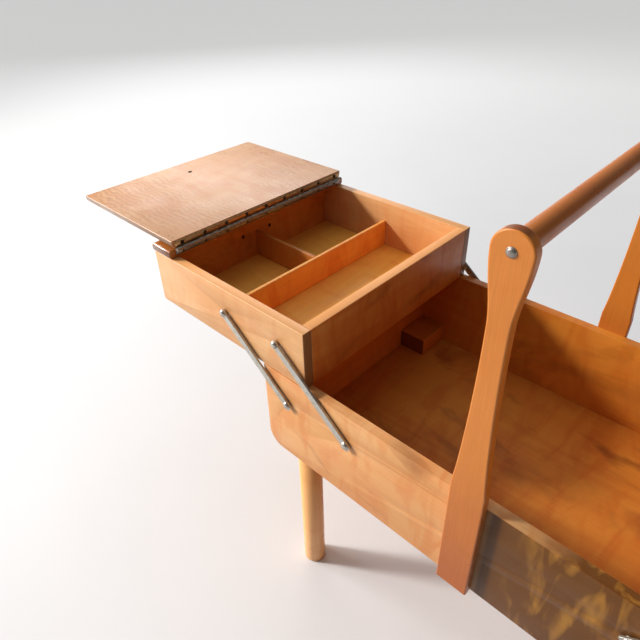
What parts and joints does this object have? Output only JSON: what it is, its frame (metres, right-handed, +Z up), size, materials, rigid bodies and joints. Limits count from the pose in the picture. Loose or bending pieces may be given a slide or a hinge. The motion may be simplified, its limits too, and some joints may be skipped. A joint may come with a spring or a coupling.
{
  "type": "cantilever sewing box",
  "caption": "Wooden sewing box on four round legs, with two compartmented trays on swinging steel arms, hinged tray lids and a rod handle.",
  "frame": {"origin": "middle of the box at floor level, under the feet", "axes": "+X along the long axis, towards the right tray; +Y towards the back; +Z up"},
  "size_m": [1.0212, 0.2686, 0.5052],
  "materials": {
    "box_wood": "satin varnish",
    "tray_wood": "satin varnish",
    "pale_plywood": "satin varnish",
    "turned_wood": "gloss varnish",
    "steel": "dull, tarnished",
    "hinge_bronze": "aged"
  },
  "bodies": {
    "main_box": {"main_front_panel": "box_wood", "main_back_panel": "box_wood", "main_left_end": "box_wood", "main_right_end": "box_wood", "main_bottom_panel": "box_wood", "corner_block_left_front": "pale_plywood", "leg_left_front": "turned_wood", "corner_block_left_back": "pale_plywood", "leg_left_back": "turned_wood", "corner_block_right_front": "pale_plywood", "leg_right_front": "turned_wood", "corner_block_right_back": "pale_plywood", "leg_right_back": "turned_wood", "handle_rod": "turned_wood", "handle_upright_front": "turned_wood", "handle_upright_back": "turned_wood", "rod_screw_front": "steel", "rod_screw_back": "steel", "left_front_outer_rivet": "steel", "left_front_inner_rivet": "steel", "left_back_outer_rivet": "steel", "left_back_inner_rivet": "steel", "right_front_outer_rivet": "steel", "right_front_inner_rivet": "steel", "right_back_outer_rivet": "steel", "right_back_inner_rivet": "steel"},
    "left_tray": {"left_tray_front_wall": "tray_wood", "left_tray_back_wall": "tray_wood", "left_tray_inner_end": "tray_wood", "left_tray_outer_end": "tray_wood", "left_tray_bottom": "pale_plywood", "left_tray_long_divider": "tray_wood", "left_tray_short_divider": "tray_wood", "left_hinge_batten": "turned_wood", "left_hinge_leaf_batten": "hinge_bronze", "left_hinge_pin": "steel"},
    "left_lid": {"left_lid": "pale_plywood", "left_lid_knob": "turned_wood", "left_hinge_leaf_lid": "hinge_bronze"},
    "left_front_outer_arm": {"left_front_outer_arm": "steel"},
    "left_front_inner_arm": {"left_front_inner_arm": "steel"},
    "left_back_outer_arm": {"left_back_outer_arm": "steel"},
    "left_back_inner_arm": {"left_back_inner_arm": "steel"},
    "right_tray": {"right_tray_front_wall": "tray_wood", "right_tray_back_wall": "tray_wood", "right_tray_inner_end": "tray_wood", "right_tray_outer_end": "tray_wood", "right_tray_bottom": "pale_plywood", "right_tray_long_divider": "tray_wood", "right_tray_short_divider": "tray_wood", "right_hinge_batten": "turned_wood", "right_hinge_leaf_batten": "hinge_bronze", "right_hinge_pin": "steel"},
    "right_lid": {"right_lid": "pale_plywood", "right_lid_knob": "turned_wood", "right_hinge_leaf_lid": "hinge_bronze"},
    "right_front_outer_arm": {"right_front_outer_arm": "steel"},
    "right_front_inner_arm": {"right_front_inner_arm": "steel"},
    "right_back_outer_arm": {"right_back_outer_arm": "steel"},
    "right_back_inner_arm": {"right_back_inner_arm": "steel"}
  },
  "joints": [
    {"name": "left_front_outer_swing", "type": "hinge", "parent": "main_box", "child": "left_front_outer_arm", "pos_m": [-0.1805, -0.127, 0.269], "axis": [0, 1, 0], "range_deg": [0, 102.42]},
    {"name": "left_front_inner_swing", "type": "hinge", "parent": "main_box", "child": "left_front_inner_arm", "pos_m": [-0.1115, -0.127, 0.269], "axis": [0, 1, 0], "range_deg": [0, 102.42]},
    {"name": "left_back_outer_swing", "type": "hinge", "parent": "main_box", "child": "left_back_outer_arm", "pos_m": [-0.1805, 0.127, 0.269], "axis": [0, 1, 0], "range_deg": [0, 102.42]},
    {"name": "left_back_inner_swing", "type": "hinge", "parent": "main_box", "child": "left_back_inner_arm", "pos_m": [-0.1115, 0.127, 0.269], "axis": [0, 1, 0], "range_deg": [0, 102.42]},
    {"name": "left_tray_level", "type": "hinge", "parent": "left_front_inner_arm", "child": "left_tray", "pos_m": [-0.1905, -0.127, 0.3325], "axis": [0, 1, 0], "range_deg": [-102.42, 0]},
    {"name": "left_lid_hinge", "type": "hinge", "parent": "left_tray", "child": "left_lid", "pos_m": [-0.3371, 0, 0.36625], "axis": [0, 1, 0], "range_deg": [0, 180]},
    {"name": "right_front_outer_swing", "type": "hinge", "parent": "main_box", "child": "right_front_outer_arm", "pos_m": [0.1805, -0.127, 0.269], "axis": [0, -1, 0], "range_deg": [0, 102.42]},
    {"name": "right_front_inner_swing", "type": "hinge", "parent": "main_box", "child": "right_front_inner_arm", "pos_m": [0.1115, -0.127, 0.269], "axis": [0, -1, 0], "range_deg": [0, 102.42]},
    {"name": "right_back_outer_swing", "type": "hinge", "parent": "main_box", "child": "right_back_outer_arm", "pos_m": [0.1805, 0.127, 0.269], "axis": [0, -1, 0], "range_deg": [0, 102.42]},
    {"name": "right_back_inner_swing", "type": "hinge", "parent": "main_box", "child": "right_back_inner_arm", "pos_m": [0.1115, 0.127, 0.269], "axis": [0, -1, 0], "range_deg": [0, 102.42]},
    {"name": "right_tray_level", "type": "hinge", "parent": "right_front_inner_arm", "child": "right_tray", "pos_m": [0.1905, -0.127, 0.3325], "axis": [0, -1, 0], "range_deg": [-102.42, 0]},
    {"name": "right_lid_hinge", "type": "hinge", "parent": "right_tray", "child": "right_lid", "pos_m": [0.3371, 0, 0.36625], "axis": [0, -1, 0], "range_deg": [0, 180]}
  ],
  "couplings": [
    {"joint": "left_front_outer_swing", "follows": "left_front_inner_swing", "ratio": 1},
    {"joint": "left_back_outer_swing", "follows": "left_front_inner_swing", "ratio": 1},
    {"joint": "left_back_inner_swing", "follows": "left_front_inner_swing", "ratio": 1},
    {"joint": "left_tray_level", "follows": "left_front_inner_swing", "ratio": -1},
    {"joint": "right_front_outer_swing", "follows": "right_front_inner_swing", "ratio": 1},
    {"joint": "right_back_outer_swing", "follows": "right_front_inner_swing", "ratio": 1},
    {"joint": "right_back_inner_swing", "follows": "right_front_inner_swing", "ratio": 1},
    {"joint": "right_tray_level", "follows": "right_front_inner_swing", "ratio": -1}
  ]
}
